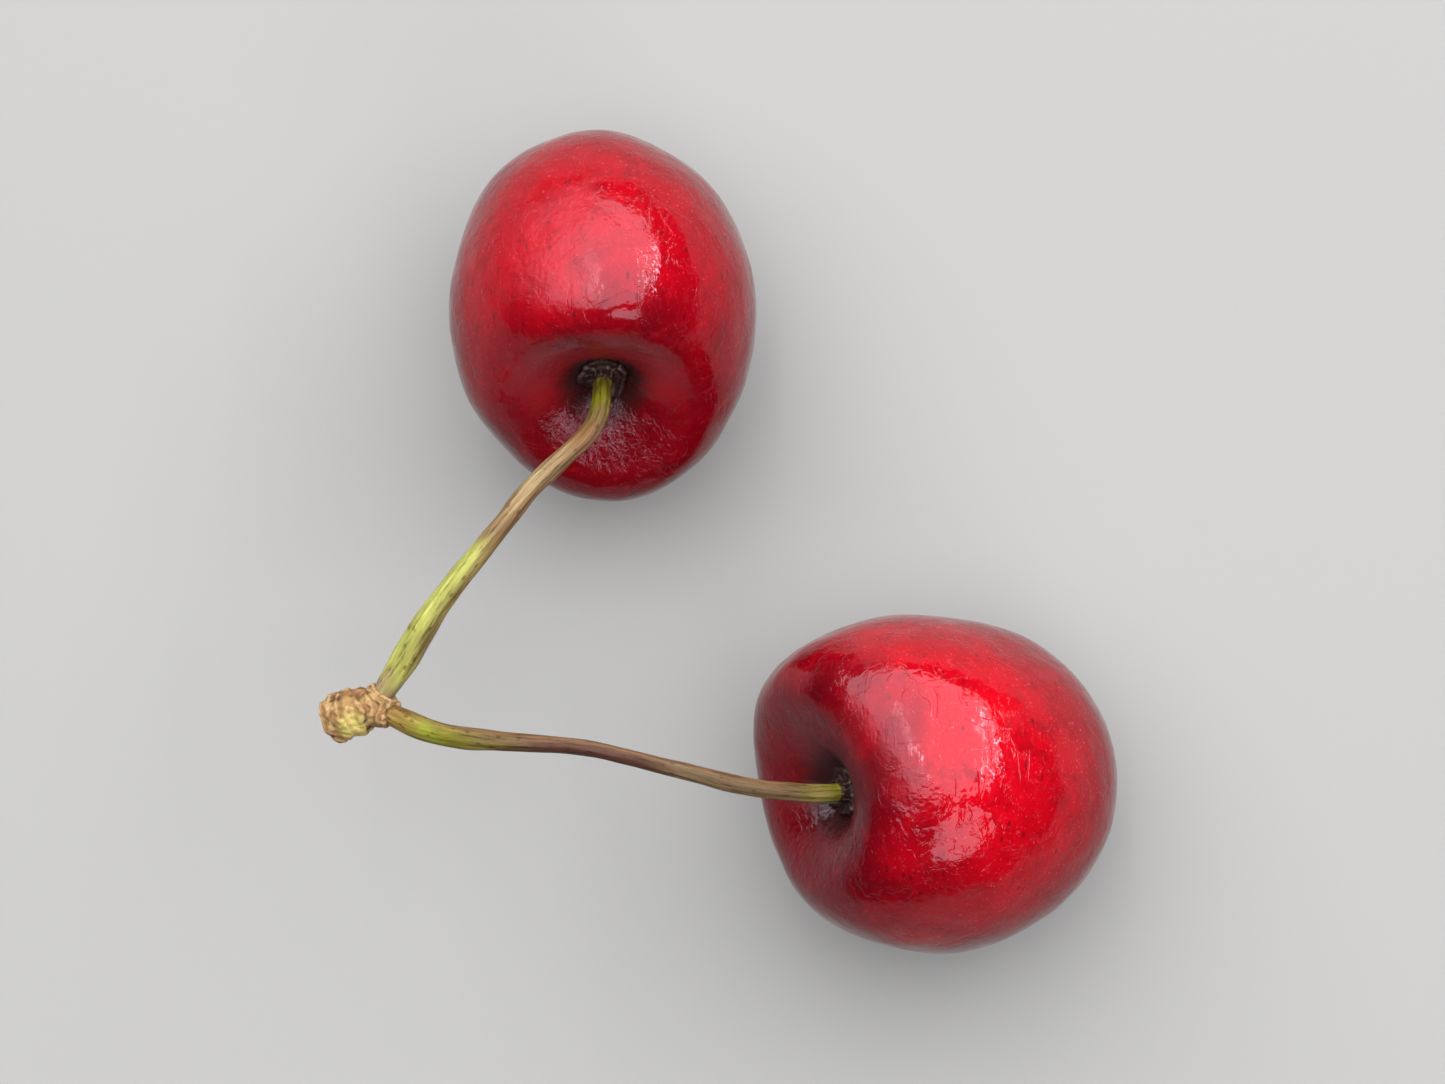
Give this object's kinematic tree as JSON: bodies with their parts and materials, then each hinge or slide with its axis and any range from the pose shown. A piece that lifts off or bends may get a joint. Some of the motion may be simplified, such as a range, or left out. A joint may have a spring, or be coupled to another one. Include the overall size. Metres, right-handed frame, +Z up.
{
  "type": "pair of cherries on stalks",
  "caption": "Ripe red sweet cherries on their curved green stalks, joined at one woody spur, lying on a surface.",
  "frame": {"origin": "on the surface that the cherries lie on, under the middle of the pair's outline seen from above", "axes": "+Z up; +Y towards the left cherry, +X towards the right cherry, the spur at -X"},
  "size_m": [0.0538, 0.056, 0.0251],
  "materials": {
    "left_skin": "wet, glossy cherry skin, deep red with fine pale dots",
    "right_skin": "wet, glossy cherry skin, bright red with fine pale dots",
    "left_stalk": "satin green-brown stalk with lengthwise grooves",
    "right_stalk": "satin brown stalk, green towards both ends",
    "spur_bark": "dry, ringed and scaly tan bark"
  },
  "bodies": {
    "root": {"left_cherry": "left_skin", "right_cherry": "right_skin", "left_stalk": "left_stalk", "right_stalk": "right_stalk", "spur": "spur_bark"}
  },
  "joints": []
}
